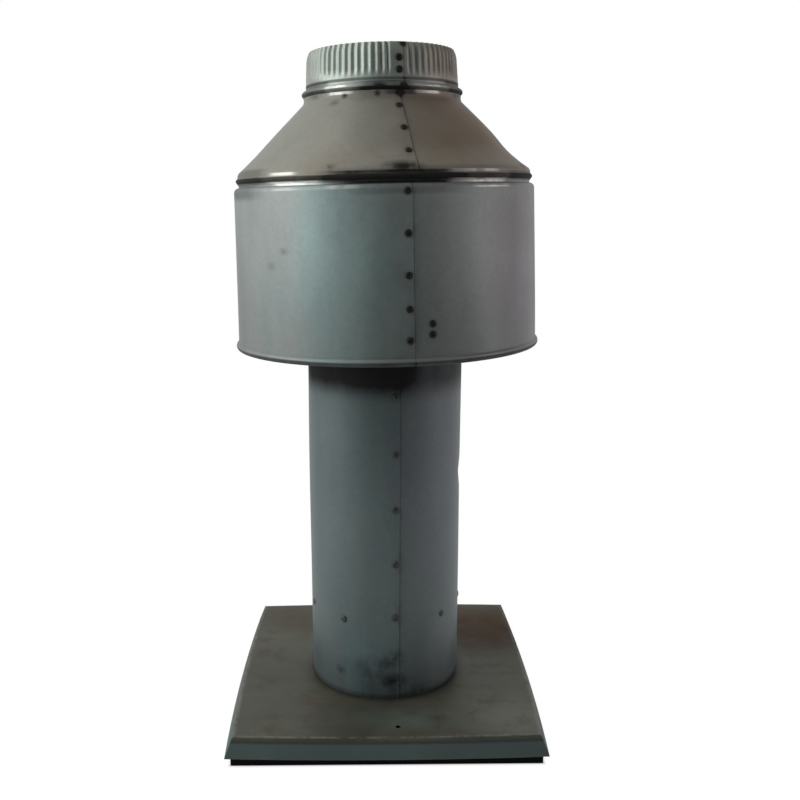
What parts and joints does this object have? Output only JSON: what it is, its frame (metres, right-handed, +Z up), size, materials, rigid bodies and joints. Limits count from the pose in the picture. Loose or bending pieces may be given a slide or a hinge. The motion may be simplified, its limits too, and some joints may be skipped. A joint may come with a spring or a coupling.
{
  "type": "vent cap",
  "caption": "Galvanised draught-hood vent cap: square pan base, riveted flue pipe, and an open-bottomed drum hood with a tapered top and a crimped outlet collar.",
  "frame": {"origin": "middle of the base at the height of the surface that it stands on", "axes": "+Z up along the flue, -Y to the front where the seams are, +X to the right"},
  "size_m": [0.3082, 0.3082, 0.6478],
  "materials": {
    "galvanised_sheet": "dull galvanised sheet, weathered grey with streaks and sooty seams",
    "base_sheet": "darker weathered galvanised sheet with brown stains",
    "strap": "plain galvanised strap",
    "rivet": "dark sooty blind rivets",
    "gasket": "matt black sealing strip"
  },
  "bodies": {
    "root": {"base_pan": "base_sheet", "base_gasket": "gasket", "base_collar": "galvanised_sheet", "flue_pipe": "galvanised_sheet", "hood_skirt": "galvanised_sheet", "hood_cone": "galvanised_sheet", "outlet_collar": "galvanised_sheet", "hood_bracket_1": "strap", "hood_bracket_2": "strap", "hood_bracket_3": "strap", "draught_baffle": "galvanised_sheet", "baffle_leg_1": "strap", "baffle_leg_2": "strap", "baffle_leg_3": "strap", "pipe_seam_rivets": "rivet", "base_ring_rivets": "rivet", "skirt_seam_rivets": "rivet", "cone_seam_rivets": "rivet", "collar_seam_rivets": "rivet", "bracket_skirt_rivets": "rivet", "bracket_pipe_rivets": "rivet", "leg_pipe_rivets": "rivet", "baffle_rivets": "rivet"}
  },
  "joints": []
}
